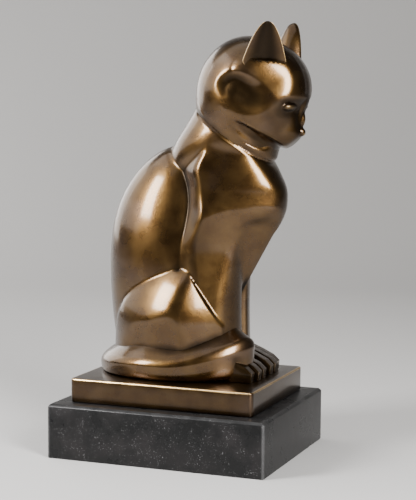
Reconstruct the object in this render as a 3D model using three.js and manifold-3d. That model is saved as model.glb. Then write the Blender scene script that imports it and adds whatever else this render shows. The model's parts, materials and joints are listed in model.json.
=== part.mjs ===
// Seated cat in cast bronze on a bronze plinth and a block of black marble.
// Millimetres, +Z up, origin at the centre of the marble's underside.
// The cat looks towards -Y, its own left is +X.
import * as THREE from 'three';
import { mergeVertices } from 'three/addons/utils/BufferGeometryUtils.js';
import Module from 'manifold-3d';

const kernel = await Module();
kernel.setup();
const { Manifold, Mesh } = kernel;

// Driving sizes
const MARBLE_WIDTH = 134;
const MARBLE_LENGTH = 164;
const MARBLE_HEIGHT = 39.5;
const MARBLE_ARRIS = 1.4;
const PLINTH_WIDTH = 112;
const PLINTH_LENGTH = 139;
const PLINTH_HEIGHT = 17.2;
const PLINTH_ARRIS = 0.8;
const SEAT_GAP = 0.3;
const FIGURE_HEIGHT = 255;
const FIGURE_OFFSET = 7;

// The figure is carved in 255 shares of its own height
const SHARES = 255;
const SHARE = FIGURE_HEIGHT / SHARES;
const PLINTH_UNDERSIDE = MARBLE_HEIGHT + SEAT_GAP;
const FIGURE_UNDERSIDE = PLINTH_UNDERSIDE + PLINTH_HEIGHT + SEAT_GAP;
const OPEN = 10000;

// Small sums used by every carved skin
const clamp = THREE.MathUtils.clamp;
const ramp = THREE.MathUtils.smoothstep;
const radians = THREE.MathUtils.degToRad;

function softMax(x, y, blend) {
  const near = Math.max(blend - Math.abs(x - y), 0) / blend;
  return Math.max(x, y) + near * near * blend / 4;
}

function softMin(blend, ...items) {
  return items.reduce((x, y) => -softMax(-x, -y, blend));
}

// A smooth line through [height, value] knots
function curve(knots, height) {
  const x = clamp(height, knots[0][0], knots[knots.length - 1][0]);
  const last = knots.length - 1;
  let i = 0;
  while (i < last - 1 && x > knots[i + 1][0]) i += 1;
  const slope = (k) => {
    const before = knots[Math.max(k - 1, 0)];
    const after = knots[Math.min(k + 1, last)];
    return (after[1] - before[1]) / (after[0] - before[0]);
  };
  const width = knots[i + 1][0] - knots[i][0];
  const t = (x - knots[i][0]) / width;
  const t2 = t * t;
  const t3 = t2 * t;
  return (2 * t3 - 3 * t2 + 1) * knots[i][1] + (t3 - 2 * t2 + t) * width * slope(i)
    + (3 * t2 - 2 * t3) * knots[i + 1][1] + (t3 - t2) * width * slope(i + 1);
}

// How far a ray from o along d runs before it leaves a half space
function planeReach(o, d, point, normal) {
  const toward = d[0] * normal[0] + d[1] * normal[1] + d[2] * normal[2];
  if (toward <= 1e-6) return OPEN;
  const away = (point[0] - o[0]) * normal[0] + (point[1] - o[1]) * normal[1]
    + (point[2] - o[2]) * normal[2];
  return Math.max(away, 0) / toward;
}

// How far a ray runs before it leaves an ellipsoid turned in plan and leaning back by some degrees
function eggReach(o, d, centre, radii, lean = 0, turn = 0) {
  const c = Math.cos(radians(lean));
  const s = Math.sin(radians(lean));
  const cosTurn = Math.cos(radians(turn));
  const sinTurn = Math.sin(radians(turn));
  const measured = (v) => {
    const x = v[0] * cosTurn + v[1] * sinTurn;
    const y = v[1] * cosTurn - v[0] * sinTurn;
    return [x / radii[0], (y * c + v[2] * s) / radii[1], (v[2] * c - y * s) / radii[2]];
  };
  const q = measured([o[0] - centre[0], o[1] - centre[1], o[2] - centre[2]]);
  const e = measured(d);
  const aa = e[0] * e[0] + e[1] * e[1] + e[2] * e[2];
  const ab = q[0] * e[0] + q[1] * e[1] + q[2] * e[2];
  const bb = q[0] * q[0] + q[1] * q[1] + q[2] * q[2] - 1;
  const inside = ab * ab - aa * bb;
  return inside > 0 ? Math.max((Math.sqrt(inside) - ab) / aa, 0) : 0;
}

// A facet that swells a little: a large ball that touches the plane at its middle
function facetReach(o, d, middle, normal, radius) {
  const length = Math.hypot(...normal);
  const centre = middle.map((part, i) => part - normal[i] / length * radius);
  return eggReach(o, d, centre, [radius, radius, radius]);
}

// How far a level ray runs in a plan oval with its own front and back depth
function ovalReach(turn, axis, centre, half, front, back) {
  const one = (depth) => {
    const w = Math.max(half, 0.01);
    const p = Math.max(depth, 0.01);
    const q = axis - centre;
    const aa = (Math.sin(turn) / w) ** 2 + (Math.cos(turn) / p) ** 2;
    const ab = -q * Math.cos(turn) / (p * p);
    const bb = (q / p) ** 2 - 1;
    const inside = ab * ab - aa * bb;
    return inside > 0 ? Math.max((Math.sqrt(inside) - ab) / aa, 0) : 0;
  };
  const ahead = one(front);
  return axis - Math.cos(turn) * ahead < centre ? ahead : one(back);
}

// Lines of the body by height: axis, shoulder ridge, breast, forelegs and nape
const BODY_TOP = 206;
const AXIS = [[0, -8], [110, -8], [150, -14], [212, -34]];
const RIDGE_DEPTH = [[0, -15], [60, -15], [77, -13], [97, -13], [111, -17.5], [124, -20.5],
  [136, -20.5], [150, -18], [166, -23], [180, -20], [200, -14]];
const RIDGE_SPREAD = [[0, 33], [60, 34], [97, 34], [120, 34.5], [150, 33.5], [166, 31.5],
  [185, 29], [200, 26]];
const BAND_TURN = [[0, 16], [85, 16], [120, 33], [140, 38], [165, 41], [185, 55], [200, 62]];
const FLANK_TURN = [[0, 17.5], [138, 17.5], [165, 5], [185, 0], [200, 0]];
const BREAST = [[60, -30], [95, -60], [105, -66], [115, -69.5], [124, -71.2], [136, -71],
  [147, -66.2], [158, -60.5], [172, -57], [196, -50]];
const FORELEG = [[0, -41.5], [80, -41.5], [90, -42.5], [102, -46.2], [112, -50], [122, -51]];
const NAPE = [[140, 26], [150, 20], [165, 13.4], [170, 11], [182, 3.2], [193, -3.5], [203, -9],
  [214, -16]];
const NECK_CENTRE = [[136, -17], [150, -20], [170, -26], [190, -34], [214, -44]];
const NECK_SPREAD = [[136, 12], [146, 20.5], [156, 25.5], [166, 28], [175, 28.6], [190, 27],
  [203, 24], [214, 22]];
// The collar line runs round the neck on a slanting plane
const COLLAR = [0, -62.6, 155];
const COLLAR_FACING = [0, -0.565, 0.825];

function backReach(turn, axis, h) {
  const rise = h > 80 ? (h - 80) / 86.5 : (h - 80) / 132;
  const size = Math.sqrt(Math.max(1 - rise * rise, 0));
  const centre = 16 - 0.0022 * Math.max(h - 104, 0) ** 2;
  return size < 0.02 ? 0 : ovalReach(turn, axis, centre, 33.5 * size, 48 * size, 48 * size);
}

// Chest, shoulder and foreleg. Under the chest the surface steps back to the legs in an arch
function frontReach(turn, axis, h, o, d) {
  const depth = curve(RIDGE_DEPTH, h);
  const spread = curve(RIDGE_SPREAD, h);
  const ridge = [-spread, depth, h];
  const outer = ovalReach(turn, axis, depth, spread + 1.5, depth - curve(BREAST, h),
    curve(NAPE, h) - depth);
  const wedge = softMin(5, planeReach(o, d, [0, -51, 78.1], [-0.7225, -0.602, -0.339]),
    planeReach(o, d, [0, -48.7, 78.1], [0, -0.878, -0.478]));
  const keel = softMin(3, wedge, outer + 40 * (1 - ramp(h, 90, 104)));
  const front = curve(FORELEG, h);
  const leg = softMin(5, planeReach(o, d, [0, front, h], [0, -1, 0]),
    planeReach(o, d, [-16, front, h], [-0.5806, -0.814, 0]));
  const beside = Math.abs(Math.sin(turn));
  const slot = Math.cos(turn) > 0
    ? 16 * Math.exp(-((beside * leg / 3.6) ** 4)) * (1 - ramp(h, 60, 75)) : 0;
  const inner = softMax(keel, leg - slot, 2.5);
  const across = beside * outer;
  const arch = 123.5 - 8 * (clamp(20 - across, 0, 20) / 20) ** 2
    - 9 * (Math.max(across - 22, 0) / 7) ** 2;
  const swell = ramp(h, arch - 14, arch + 3);
  const chest = softMin(3, inner + (outer - inner) * swell, planeReach(o, d, COLLAR, COLLAR_FACING));
  const facing = radians(curve(BAND_TURN, h));
  const turned = radians(curve(FLANK_TURN, h));
  const band = planeReach(o, d, ridge, [-Math.cos(facing), Math.sin(facing), 0]);
  const flank = planeReach(o, d, ridge, [-Math.cos(turned), -Math.sin(turned), 0]);
  const trimmed = softMin(3, softMin(3 + 15 * ramp(h, 112, 135), chest, flank), band);
  return Math.min(trimmed, planeReach(o, d, [0, 20, h], [0, 1, 0]));
}

// Thigh, knee and shin are planed off the haunch's oval mass
function haunchReach(turn, axis, o, d) {
  const mass = softMin(2.5,
    eggReach(o, d, [0, -8, 20], [OPEN, 62, 58.5]),
    ovalReach(turn, axis, 3, 46.5, 56, 56),
    planeReach(o, d, [-33, -26, 51], [0, -0.85, 0.527]),
    planeReach(o, d, [-30, -37, 0], [0.6, -0.8, 0]));
  const thigh = softMin(2.5,
    facetReach(o, d, [-46.3, 8, 43], [-0.975, 0.154, 0.156], 80),
    facetReach(o, d, [-36.5, -20, 52], [-0.82, -0.563, 0.14], 90));
  const shin = softMin(1,
    planeReach(o, d, [-45.6, 16, 42], [-0.94, 0.28, -0.2]),
    planeReach(o, d, [-46.2, 4, 43], [-0.98, 0.04, -0.2]));
  return softMin(1.5, mass, thigh, shin);
}

function neckReach(turn, axis, h, o, d) {
  const centre = curve(NECK_CENTRE, h);
  const oval = ovalReach(turn, axis, centre, curve(NECK_SPREAD, h), 44, curve(NAPE, h) - centre);
  const throat = planeReach(o, d, [0, -66.5, 160], [0, -0.995, -0.1]);
  return softMin(12, oval, throat) * ramp(h, 134, 138);
}

// A point of the body's skin: turn 0 is the breast, half a turn the back
function bodyPoint(turn, h) {
  const axis = curve(AXIS, h);
  const o = [0, axis, h];
  const d = [-Math.abs(Math.sin(turn)), -Math.cos(turn), 0];
  let reach = softMax(backReach(turn, axis, h), frontReach(turn, axis, h, o, d), 1);
  reach = softMax(reach, haunchReach(turn, axis, o, d), 1);
  reach = softMax(reach, neckReach(turn, axis, h, o, d), 1);
  const above = (axis - Math.cos(turn) * reach - COLLAR[1]) * COLLAR_FACING[1]
    + (h - COLLAR[2]) * COLLAR_FACING[2];
  reach -= 1.8 * Math.exp(-((above / 1.4) ** 2)) * ramp(Math.cos(turn) * reach - axis, 4, 14);
  return [-Math.sin(turn) * reach, axis - Math.cos(turn) * reach, h];
}

// A point of the head's skin, seen from a place inside the skull
const SKULL = [0, -46, 203];
const BROW = 200;
const EAR_TURN = 30;
const EAR_ROOT = [-25, -62.5];
const HOLLOW = [-51, 203];
const HOLLOW_ALONG = [-0.914, -0.407];
const HOLLOW_ACROSS = [-0.407, 0.914];

function headMass(s) {
  const egg = (centre, radii, lean, turn) => eggReach(SKULL, s, centre, radii, lean, turn);
  const cut = (point, normal) => planeReach(SKULL, s, point, normal);
  const crown = softMax(egg([0, -45.5, 207], [35, 39.6, 37.6]), egg([0, -40, 198], [32.4, 36, 46]), 3);
  const bare = softMin(4, softMax(crown, egg([0, -58, 207.5], [29, 30.3, 31]), 4),
    cut([-27.5, -62, 212], [-0.93, -0.33, 0.16]));
  const skull = softMax(bare, egg([-18.5, -59.5, 219], [8, 20, 12], 0, EAR_TURN), 6);
  const under = cut([0, -68.6, 166.4], [-0.25, 0.4, -0.88]);
  const side = cut([-22, -68.5, 186.4], [-0.743, -0.634, -0.216]);
  const chin = cut([0, -76.2, 169.3], [0, -0.62, -0.785]);
  const cheek = softMin(5, egg([0, -52, 190], [31, 31.5, 27], 25),
    cut([-25.5, -62, 188], [-0.86, -0.5, 0]));
  const face = softMin(2, cheek, under, side);
  const muzzle = softMin(2.5, egg([0, -63, 179], [15.5, 20, 14.5], 18), under, side, chin);
  return softMax(softMax(skull, face, 4), muzzle, 4);
}

// How deep the cheek's hollow is: crisp behind and above, soft below and in front
function hollow(b, h) {
  const along = (b - HOLLOW[0]) * HOLLOW_ALONG[0] + (h - HOLLOW[1]) * HOLLOW_ALONG[1];
  const across = (b - HOLLOW[0]) * HOLLOW_ACROSS[0] + (h - HOLLOW[1]) * HOLLOW_ACROSS[1];
  const depth = 1 - Math.hypot(along / 24, across / (13.5 - 0.16 * along));
  const soft = Math.min(ramp(along, -16, 4) + ramp(-across, -2, 10), 1);
  return ramp(depth, -0.03, 0.34) * (1 - soft)
    + ramp(depth, -0.1, 0.7) * soft * (1 - 0.3 * ramp(along, 0, 24));
}

// How far the skull stands out before the ear's dish, above a ledge that falls to the front
function earSeat(a, b, h) {
  const c = Math.cos(radians(EAR_TURN));
  const s = Math.sin(radians(EAR_TURN));
  const out = -c * (a - EAR_ROOT[0]) - s * (b - EAR_ROOT[1]);
  const along = s * (a - EAR_ROOT[0]) - c * (b - EAR_ROOT[1]);
  const inside = 1 - Math.min((along / 15.5) ** 2, 1);
  return Math.max(out + 5 * inside, 0) * ramp(inside, 0, 0.15) * ramp(h + 0.11 * along, 226.8, 228.2);
}

// The step under the brow, the eye's lens in it, the nose and the shallow hollow of the cheek
function headPoint(turn, tilt) {
  const d = [Math.sin(tilt) * Math.sin(turn), Math.cos(tilt), Math.sin(tilt) * Math.cos(turn)];
  const s = [-Math.abs(d[0]), d[1], d[2]];
  const at = (reach) => s.map((part, i) => SKULL[i] + part * reach);
  let reach = headMass(s);
  const [a, b, h] = at(reach);
  reach -= earSeat(a, b, h);
  const line = BROW + 0.06 * (b + 75);
  const step = (0.6 + 2.4 * ramp(-b, 70, 82)) * ramp(-b, 66, 78) * ramp(-a, 2, 6);
  reach -= step * (1 - ramp(h, line - 4.6, line + 4.6)) * ramp(h, 176, 193);
  reach = softMax(reach, eggReach(SKULL, s, [-13.2, -75.4, 195], [7.4, 6.3, 3.3], -6), 0.4);
  const bridge = softMin(1, eggReach(SKULL, s, [0, -70, 186], [4.5, 15.2, 12], -6),
    planeReach(SKULL, s, [-2.6, -84, 180], [-0.93, -0.3, 0.1]));
  const nose = softMax(bridge, eggReach(SKULL, s, [0, -81.3, 177.5], [3, 4.2, 3.4], 25), 1);
  reach = softMax(reach, nose, 1.5);
  const [, back, up] = at(reach);
  reach -= 3.8 * hollow(back, up) * ramp(-a, 4, 10);
  return d.map((part, i) => SKULL[i] + part * reach);
}

// A point of the tail: along runs from the rump round the right side to its end
function tailCentre(along) {
  const turn = radians(-30 + along * 206);
  const depth = Math.cos(turn) > 0 ? 50.5 : 58.5;
  const height = 8 + 3.5 * ramp(along, 0.2, 0.55) + 11.6 * ramp(along, 0.6, 0.96);
  return [-5 - 39 * Math.sin(turn), 10 + depth * Math.cos(turn), height];
}

function tailPoint(around, along) {
  const rise = ramp(along, 0.6, 0.96);
  const centre = tailCentre(along);
  const before = tailCentre(along - 0.01);
  const after = tailCentre(along + 0.01);
  const run = Math.hypot(after[0] - before[0], after[1] - before[1]);
  const out = [(after[1] - before[1]) / run, -(after[0] - before[0]) / run];
  const d = [Math.cos(around), Math.sin(around), 0];
  const o = [0, 0, 0];
  const wide = 1 + 0.38 * rise;
  const high = 0.78 + 0.22 * ramp(along, 0.2, 0.55) + 0.4 * rise;
  const section = softMin(4 + 7 * rise,
    planeReach(o, d, [8.2 * wide, 0, 0], [1, 0, 0]),
    planeReach(o, d, [8.2 * wide, high * (1 + 3 * rise), 0], [0.7 - 0.22 * rise, 0.714 + 0.16 * rise, 0]),
    planeReach(o, d, [0, 12.2 * high, 0], [0.2, 0.98, 0]),
    planeReach(o, d, [-8.5 * wide, 0, 0], [-1, 0, 0]),
    planeReach(o, d, [8.2 * wide, -5 * high, 0], [0.96, -0.28, 0]),
    planeReach(o, d, [0, -centre[2], 0], [0, -1, 0]));
  const taper = Math.sqrt(Math.max(1 - clamp((along - 0.86) / 0.14, 0, 1) ** 2.4, 0));
  const across = section * taper * d[0];
  const up = section * taper * d[1];
  return [centre[0] + out[0] * across, centre[1] + out[1] * across, Math.max(centre[2] + up, 0)];
}

// A point of an ear: a leaf with a hollow outer face and a round inner one
function earPoint(side, around, grow) {
  const narrow = (1 - grow) * Math.sqrt(1.35);
  const rise = 1 - narrow * narrow;
  const size = Math.min(narrow, 1);
  const half = 15.5 * Math.min(narrow, 1 - 1.8 * (narrow - 1));
  const x = Math.cos(around);
  const y = Math.sin(around);
  const dish = 4.8 * size * y * y;
  const lip = Math.min(narrow * 4, 1) * Math.sqrt(Math.abs(y));
  const shell = 6.5 * size * Math.abs(y) ** 1.2;
  const out = y > 0 ? lip - dish : -dish - shell - lip;
  const spread = 4.4 * Math.max(rise, 0) + 14 * Math.min(rise, 0);
  const c = Math.cos(radians(EAR_TURN));
  const s = Math.sin(radians(EAR_TURN));
  return [side * (spread - EAR_ROOT[0] - s * half * x + c * out),
    EAR_ROOT[1] - 3.9 * rise - c * half * x - s * out, 226.5 + (27.9 + 0.6 * side) * rise];
}

// Closed skin from a grid of rows, each row closed on itself, with a cap at both ends
function skin(rows, columns, pointAt) {
  const points = [];
  const faces = [];
  for (let j = 0; j <= rows; j += 1) {
    for (let i = 0; i < columns; i += 1) points.push(pointAt(i / columns, j / rows));
  }
  for (const row of [0, rows]) {
    const ring = points.slice(row * columns, (row + 1) * columns);
    points.push([0, 1, 2].map((k) => ring.reduce((sum, p) => sum + p[k], 0) / columns));
  }
  const first = (rows + 1) * columns;
  for (let i = 0; i < columns; i += 1) {
    const next = (i + 1) % columns;
    for (let j = 0; j < rows; j += 1) {
      const low = j * columns;
      const high = low + columns;
      faces.push(low + i, low + next, high + next, low + i, high + next, high + i);
    }
    faces.push(first, next, i, first + 1, rows * columns + i, rows * columns + next);
  }
  const geometry = new THREE.BufferGeometry();
  geometry.setAttribute('position', new THREE.Float32BufferAttribute(points.flat(), 3));
  geometry.setIndex(faces);
  return geometry;
}

// A toe: a wedge profile carried across, with eased edges
function toe(across, front, width) {
  const ease = 1.2;
  const profile = new THREE.Shape();
  profile.moveTo(front + ease, ease);
  profile.lineTo(front + ease - 0.6, 7.5);
  profile.lineTo(front + 4.5, 11);
  profile.lineTo(front + 13, 15);
  profile.lineTo(front + 22, 18.5);
  profile.lineTo(front + 22, ease);
  const solid = new THREE.ExtrudeGeometry(profile, {
    depth: width - 2 * ease, bevelThickness: ease, bevelSize: ease, bevelSegments: 2, steps: 1,
  });
  solid.translate(0, 0, ease - width / 2);
  solid.applyMatrix4(new THREE.Matrix4().set(0, 0, 1, across, 1, 0, 0, 0, 0, 1, 0, 0, 0, 0, 0, 1));
  return solid;
}

function solidOf(geometry) {
  const bare = geometry.clone();
  bare.deleteAttribute('normal');
  bare.deleteAttribute('uv');
  const merged = mergeVertices(bare, 1e-4);
  const mesh = new Mesh({
    numProp: 3,
    vertProperties: new Float32Array(merged.attributes.position.array),
    triVerts: new Uint32Array(merged.index.array),
  });
  return new Manifold(mesh);
}

function geometryOf(solid) {
  const mesh = solid.getMesh();
  const geometry = new THREE.BufferGeometry();
  const positions = new Float32Array(mesh.numVert * 3);
  for (let i = 0; i < mesh.numVert; i += 1) {
    for (let k = 0; k < 3; k += 1) {
      positions[i * 3 + k] = mesh.vertProperties[i * mesh.numProp + k];
    }
  }
  geometry.setAttribute('position', new THREE.BufferAttribute(positions, 3));
  geometry.setIndex(new THREE.BufferAttribute(new Uint32Array(mesh.triVerts), 1));
  return geometry;
}

// A level block with eased edges
function block(width, length, height, arris) {
  const plan = new THREE.Shape();
  const x = width / 2 - arris;
  const y = length / 2 - arris;
  plan.moveTo(-x, -y);
  plan.lineTo(x, -y);
  plan.lineTo(x, y);
  plan.lineTo(-x, y);
  const solid = new THREE.ExtrudeGeometry(plan, {
    depth: height - 2 * arris, bevelThickness: arris, bevelSize: arris, bevelSegments: 1, steps: 1,
  });
  return solid.translate(0, 0, arris);
}

// Rows stand closer round the shoulder ridge and the flank than at breast and back
const FULL = Math.PI * 2;
const closer = (share) => share * FULL + 0.2 * Math.sin(2 * share * FULL);

function figure() {
  const pieces = [
    skin(46, 56, (u, v) => bodyPoint(closer(-u), v * BODY_TOP)),
    skin(30, 40, (u, v) => headPoint(-u * FULL, 0.02 + v * (Math.PI - 0.04))),
    skin(34, 16, (u, v) => tailPoint(-u * FULL, v)),
    skin(9, 16, (u, v) => earPoint(-1, -u * FULL, v * 0.97)),
    skin(9, 16, (u, v) => earPoint(1, u * FULL, v * 0.97)),
  ];
  for (const side of [-1, 1]) {
    pieces.push(toe(side * 28, -57, 9));
    pieces.push(toe(side * 18, -59, 9));
    pieces.push(toe(side * 8, -59, 9));
  }
  const solids = pieces.map(solidOf);
  const whole = solids.reduce((sum, solid) => sum.add(solid));
  return geometryOf(whole.trimByPlane([0, 0, 1], 0));
}

function node(name, geometry, colour, roughness, metalness) {
  const material = new THREE.MeshStandardMaterial({ color: colour, roughness, metalness });
  const mesh = new THREE.Mesh(geometry, material);
  mesh.name = name;
  return mesh;
}

const marble = block(MARBLE_WIDTH, MARBLE_LENGTH, MARBLE_HEIGHT, MARBLE_ARRIS);
const plinth = block(PLINTH_WIDTH, PLINTH_LENGTH, PLINTH_HEIGHT, PLINTH_ARRIS);
plinth.translate(0, 0, PLINTH_UNDERSIDE);
const cat = figure();
cat.scale(SHARE, SHARE, SHARE);
cat.translate(FIGURE_OFFSET, 0, FIGURE_UNDERSIDE);

const part = new THREE.Group();
part.name = 'seated_cat';
part.add(node('marble_base', marble, 0x1c1c1d, 0.3, 0));
part.add(node('bronze_plinth', plinth, 0x5a4020, 0.35, 0.9));
part.add(node('cat', cat, 0x5a4222, 0.35, 0.9));
export default part;
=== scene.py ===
# %% [markdown]
# # A seated cat in bronze
# The object is a smooth, stylised cat cast in bronze. It sits on a bronze plinth, and the plinth
# lies on a block of black marble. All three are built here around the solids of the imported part.
# The solids give the places and sizes. This script gives the fine form, the patina and the light.

# %% Load the solids
import json
import math
import bmesh
import bpy
import numpy as np
from mathutils import Matrix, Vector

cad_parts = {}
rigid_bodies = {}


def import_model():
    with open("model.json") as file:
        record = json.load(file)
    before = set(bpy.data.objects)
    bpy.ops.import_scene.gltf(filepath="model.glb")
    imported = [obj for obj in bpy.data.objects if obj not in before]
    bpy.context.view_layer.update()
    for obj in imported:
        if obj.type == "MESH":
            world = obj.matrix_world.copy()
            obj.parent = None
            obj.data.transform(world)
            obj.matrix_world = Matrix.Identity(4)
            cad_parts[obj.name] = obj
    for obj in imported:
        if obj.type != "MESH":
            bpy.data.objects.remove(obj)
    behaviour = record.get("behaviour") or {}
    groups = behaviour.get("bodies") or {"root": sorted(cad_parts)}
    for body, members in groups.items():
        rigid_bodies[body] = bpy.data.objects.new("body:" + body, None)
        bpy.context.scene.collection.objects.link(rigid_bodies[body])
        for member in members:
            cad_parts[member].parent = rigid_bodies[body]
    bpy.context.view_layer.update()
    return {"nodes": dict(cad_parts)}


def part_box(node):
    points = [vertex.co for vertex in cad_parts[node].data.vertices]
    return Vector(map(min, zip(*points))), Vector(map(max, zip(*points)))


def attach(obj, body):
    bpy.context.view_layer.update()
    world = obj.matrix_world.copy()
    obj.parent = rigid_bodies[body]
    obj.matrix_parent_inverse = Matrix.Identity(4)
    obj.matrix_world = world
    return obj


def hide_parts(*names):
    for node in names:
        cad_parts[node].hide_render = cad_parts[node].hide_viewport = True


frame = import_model()
cat_low, cat_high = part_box("cat")
plinth_low, plinth_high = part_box("bronze_plinth")
marble_low, marble_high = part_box("marble_base")
print("solids:", sorted(frame["nodes"]), "height", round(cat_high.z - marble_low.z, 4), "m")

# %% [markdown]
# ## The figure's own measure
# A sculptor works in shares of the figure's height, so that a pose keeps its proportions at any
# size. Here the height from the plinth to the ear tips is 255 shares. A point of the figure is
# written as (a, b, h): a across, positive to the cat's left, b along, negative to the front, and h
# up from the plinth.

# %% Shares to metres
SHARES = 255
SHARE = (cat_high.z - cat_low.z) / SHARES
FIGURE_OFFSET = 0.007


def placed(points):
    """Points in shares, moved and scaled into the frame: offset + share * (a, b, h)."""
    return points * SHARE + np.array([FIGURE_OFFSET, 0, cat_low.z])


print("one share is", round(SHARE * 1000, 3), "mm")

# %% [markdown]
# ## Soft joins
# The surface of a figure like this is made of a few simple masses, eggs, ovals and planes, that
# run into each other. Joining them with a plain maximum or minimum leaves knife edges. A soft
# maximum rounds the edge over a chosen width, which is what a modeller's thumb does in clay.

# %% Soft maximum, soft minimum, ramps and curves
def soft_max(x, y, blend):
    """max(x, y) + (1 - |x - y| / blend)^2 * blend / 4 where the two are closer than blend."""
    near = np.maximum(blend - np.abs(x - y), 0) / blend
    return np.maximum(x, y) + near * near * blend / 4


def soft_min(blend, *items):
    """The soft maximum turned over, taken through all items in turn."""
    least = items[0]
    for item in items[1:]:
        least = -soft_max(-least, -item, blend)
    return least


def ramp(x, low, high):
    """3t^2 - 2t^3, with t going from 0 at low to 1 at high."""
    t = np.clip((x - low) / (high - low), 0, 1)
    return t * t * (3 - 2 * t)


def curve(knots, x):
    """A smooth line through (x, value) knots: cubic pieces whose slopes follow the neighbours."""
    places, values = np.array(knots, float).T
    x = np.clip(x, places[0], places[-1])
    slopes = np.gradient(values, places)
    i = np.clip(np.searchsorted(places, x) - 1, 0, len(places) - 2)
    width = places[i + 1] - places[i]
    t = (x - places[i]) / width
    return ((2 * t**3 - 3 * t**2 + 1) * values[i] + (t**3 - 2 * t**2 + t) * width * slopes[i]
            + (3 * t**2 - 2 * t**3) * values[i + 1] + (t**3 - t**2) * width * slopes[i + 1])


print("a soft edge between 0 and 0 rises by", soft_max(np.zeros(1), np.zeros(1), 4.0)[0])

# %% [markdown]
# ## How far a ray reaches
# Body and head are each worked out as seen from inside: for every direction the surface lies where
# the ray leaves the masses. So each mass only has to say how far a ray from o along d runs in it.

# %% Reach in a half space, an egg and a plan oval
OPEN = 1e4
PARALLEL = 1e-6
THIN = 0.01


def vec(a, b, h):
    """Three numbers or arrays as one array of points."""
    return np.stack(np.broadcast_arrays(np.asarray(a, float), b, h), -1)


def plane_reach(o, d, point, normal):
    """((point - o) . normal) / (d . normal), and no limit where the ray turns from the plane."""
    point, normal = np.asarray(point, float), np.asarray(normal, float)
    toward = (d * normal).sum(-1)
    away = np.maximum(((point - o) * normal).sum(-1), 0)
    return np.where(toward > PARALLEL, away / np.maximum(toward, PARALLEL), OPEN)


def root(aa, ab, bb):
    """The larger root of aa t^2 + 2 ab t + bb = 0, or 0 where the ray misses."""
    inside = ab * ab - aa * bb
    return np.where(inside > 0, np.maximum((np.sqrt(np.maximum(inside, 0)) - ab) / aa, 0), 0)


def egg_reach(o, d, centre, radii, lean=0.0, turn=0.0):
    """Where |((o + t d - centre) turned in plan and leaned back) / radii| = 1."""
    c, s = math.cos(math.radians(lean)), math.sin(math.radians(lean))
    e, f = math.cos(math.radians(turn)), math.sin(math.radians(turn))
    leaned = np.array([[1, 0, 0], [0, c, s], [0, -s, c]])
    axes = leaned @ np.array([[e, f, 0], [-f, e, 0], [0, 0, 1]])
    q = (o - np.asarray(centre, float)) @ axes.T / np.asarray(radii, float)
    p = d @ axes.T / np.asarray(radii, float)
    return root((p * p).sum(-1), (q * p).sum(-1), (q * q).sum(-1) - 1)


def oval_reach(turn, axis, centre, half, front, back):
    """A level ray from the axis in a plan oval with half width and its own front and back depth."""
    def one(depth):
        depth, wide, q = np.maximum(depth, THIN), np.maximum(half, THIN), axis - centre
        return root((np.sin(turn) / wide) ** 2 + (np.cos(turn) / depth) ** 2,
                    -q * np.cos(turn) / depth**2, (q / depth) ** 2 - 1)
    ahead = one(front)
    return np.where(axis - np.cos(turn) * ahead < centre, ahead, one(back))


print("a ray up from 0 in an egg of radius 2 runs",
      egg_reach(vec(0, 0, 0), vec(0, 0, 1), (0, 0, 0), (2, 2, 2)))

# %% [markdown]
# ## The body
# From the plinth to the nape the cat is one flowing skin. A vertical axis runs through it, and
# around that axis lie the rump and back, the chest with the shoulder ridge and the forelegs, the
# haunch with its planed knee, and the neck. The lines that change with height, such as the breast's
# profile, are curves through a few heights. A stack of sections like this keeps the long smooth
# planes that the bronze has, where sculpting by hand would leave dents in the highlights.

# %% Lines of the body by height
BODY_TOP = 206
AXIS = ((0, -8), (110, -8), (150, -14), (212, -34))
RIDGE_DEPTH = ((0, -15), (60, -15), (77, -13), (97, -13), (111, -17.5), (124, -20.5),
               (136, -20.5), (150, -18), (166, -23), (180, -20), (200, -14))
RIDGE_SPREAD = ((0, 33), (60, 34), (97, 34), (120, 34.5), (150, 33.5), (166, 31.5),
                (185, 29), (200, 26))
BAND_TURN = ((0, 16), (85, 16), (120, 33), (140, 38), (165, 41), (185, 55), (200, 62))
FLANK_TURN = ((0, 17.5), (138, 17.5), (165, 5), (185, 0), (200, 0))
BREAST = ((60, -30), (95, -60), (105, -66), (115, -69.5), (124, -71.2), (136, -71),
          (147, -66.2), (158, -60.5), (172, -57), (196, -50))
FORELEG = ((0, -41.5), (80, -41.5), (90, -42.5), (102, -46.2), (112, -50), (122, -51))
NAPE = ((140, 26), (150, 20), (165, 13.4), (170, 11), (182, 3.2), (193, -3.5), (203, -9),
        (214, -16))
NECK_CENTRE = ((136, -17), (150, -20), (170, -26), (190, -34), (214, -44))
NECK_SPREAD = ((136, 12), (146, 20.5), (156, 25.5), (166, 28), (175, 28.6), (190, 27), (203, 24),
               (214, 22))
COLLAR = np.array([0, -62.6, 155])
COLLAR_FACING = np.array([0, -0.565, 0.825])
print("the breast stands furthest out at", min(BREAST, key=lambda knot: knot[1]))

# %% [markdown]
# ## The masses between the lines
# Each mass says how far a level ray from the axis runs in it, and the largest reach is the skin. A
# mass is an oval in plan or an egg, trimmed by planes. A plane is written as a point on it and the
# way it faces. Only the right half is worked out, and the left half mirrors it.

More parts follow.
